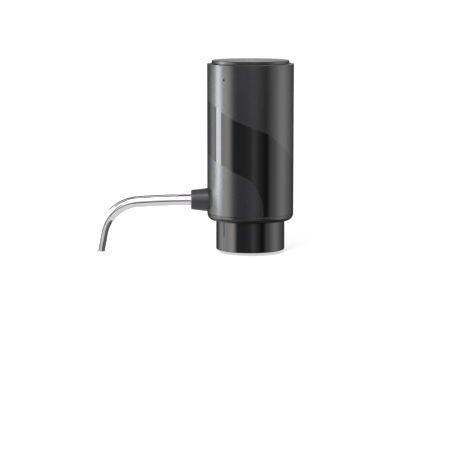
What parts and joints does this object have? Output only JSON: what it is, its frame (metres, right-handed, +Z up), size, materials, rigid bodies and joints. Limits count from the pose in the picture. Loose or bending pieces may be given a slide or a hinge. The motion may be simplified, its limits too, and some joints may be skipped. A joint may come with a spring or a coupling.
{
  "type": "electric wine aerator",
  "caption": "Battery wine pourer: round housing with a press-top button, a collar that seals on a bottle's neck, an air pump inside, and a bent steel spout that swivels in a soft boot.",
  "frame": {"origin": "centre of the bottle socket's mouth, in the plane of the collar's lower face", "axes": "+Z up along the housing's axis, spout towards -X, charging port towards +Y, status light on the front (-Y) side towards the spout"},
  "size_m": [0.1229, 0.053, 0.1178],
  "materials": {
    "sleeve_paint": "soft matte paint with a gloss band",
    "ring_plastic": "fine matte",
    "collar_gloss": "polished",
    "seal_silicone": "soft silicone",
    "food_plastic": "moulded",
    "ring_rubber": "moulded",
    "brass_insert": "turned",
    "boot_rubber": "soft touch",
    "spout_steel": "polished stainless steel",
    "button_finish": "satin",
    "spring_steel": "drawn wire",
    "frame_plastic": "moulded",
    "board_green": "solder mask",
    "switch_black": "moulded",
    "plunger_red": "moulded",
    "led_clear": "clear epoxy",
    "pipe_smoke": "smoked clear plastic",
    "port_metal": "plated",
    "cell_wrap": "shrink wrap",
    "nickel_strip": "nickel",
    "can_steel": "plated",
    "magnet_ferrite": "sintered",
    "brush_copper": "spring copper",
    "bush_bronze": "sintered bronze",
    "shaft_steel": "ground",
    "core_iron": "laminated",
    "winding_copper": "enamelled wire",
    "pump_plastic": "moulded",
    "valve_silicone": "soft silicone",
    "screw_steel": "zinc plated",
    "hose_silicone": "translucent silicone",
    "ribbon_grey": "insulation",
    "lead_red": "insulation",
    "lead_black": "insulation"
  },
  "bodies": {
    "housing": {"outer_sleeve": "sleeve_paint", "base_ring": "ring_plastic", "bottle_collar": "collar_gloss", "neck_seal": "seal_silicone", "wine_manifold": "food_plastic", "manifold_o_ring": "ring_rubber", "venturi_insert": "brass_insert", "spout_boot": "boot_rubber", "spout_o_rings": "ring_rubber", "button_spring": "spring_steel", "top_deck": "frame_plastic", "switch_board": "board_green", "push_switch": "switch_black", "status_led": "led_clear", "light_pipe": "pipe_smoke", "main_board": "board_green", "board_components": "switch_black", "usb_receptacle": "port_metal", "battery_cell": "cell_wrap", "battery_tabs": "nickel_strip", "chassis": "frame_plastic", "motor_can": "can_steel", "motor_magnets": "magnet_ferrite", "motor_end_cap": "food_plastic", "motor_brushes": "brush_copper", "motor_bushes": "bush_bronze", "motor_band": "ring_rubber", "pump_frame": "pump_plastic", "wobble_plate": "food_plastic", "cup_carrier": "pump_plastic", "diaphragm": "ring_rubber", "valve_plate": "pump_plastic", "umbrella_valve": "valve_silicone", "pump_cover": "pump_plastic", "pump_pad": "ring_rubber", "pump_screws": "screw_steel", "motor_screws": "screw_steel", "air_hose": "hose_silicone", "collar_screws": "screw_steel", "chassis_screws": "screw_steel", "deck_screws": "screw_steel", "board_screws": "screw_steel", "board_ribbon": "ribbon_grey", "battery_leads": "lead_red", "motor_leads": "lead_black"},
    "button": {"top_button": "button_finish"},
    "plunger": {"switch_plunger": "plunger_red"},
    "spout": {"spout_tube": "spout_steel"},
    "rotor": {"motor_shaft": "shaft_steel", "armature_core": "core_iron", "armature_windings": "winding_copper", "commutator": "brush_copper", "pump_eccentric": "food_plastic"}
  },
  "joints": [
    {"name": "top_button_press", "type": "slide", "parent": "housing", "child": "button", "axis": [0, 0, -1], "range_m": [0, 0.001], "stiffness_N_per_m": 2500, "springref_m": -0.0004, "deforming": ["button_spring"]},
    {"name": "switch_plunger_press", "type": "slide", "parent": "housing", "child": "plunger", "axis": [0, 0, -1], "range_m": [0, 0.001]},
    {"name": "spout_swivel", "type": "hinge", "parent": "housing", "child": "spout", "pos_m": [-0.03, 0, 0.03035], "axis": [1, 0, 0], "continuous": true},
    {"name": "motor_spin", "type": "hinge", "parent": "housing", "child": "rotor", "pos_m": [0.0097, 0, 0.07], "axis": [0, 0, 1], "continuous": true}
  ],
  "couplings": [
    {"joint": "switch_plunger_press", "follows": "top_button_press", "ratio": 1}
  ]
}
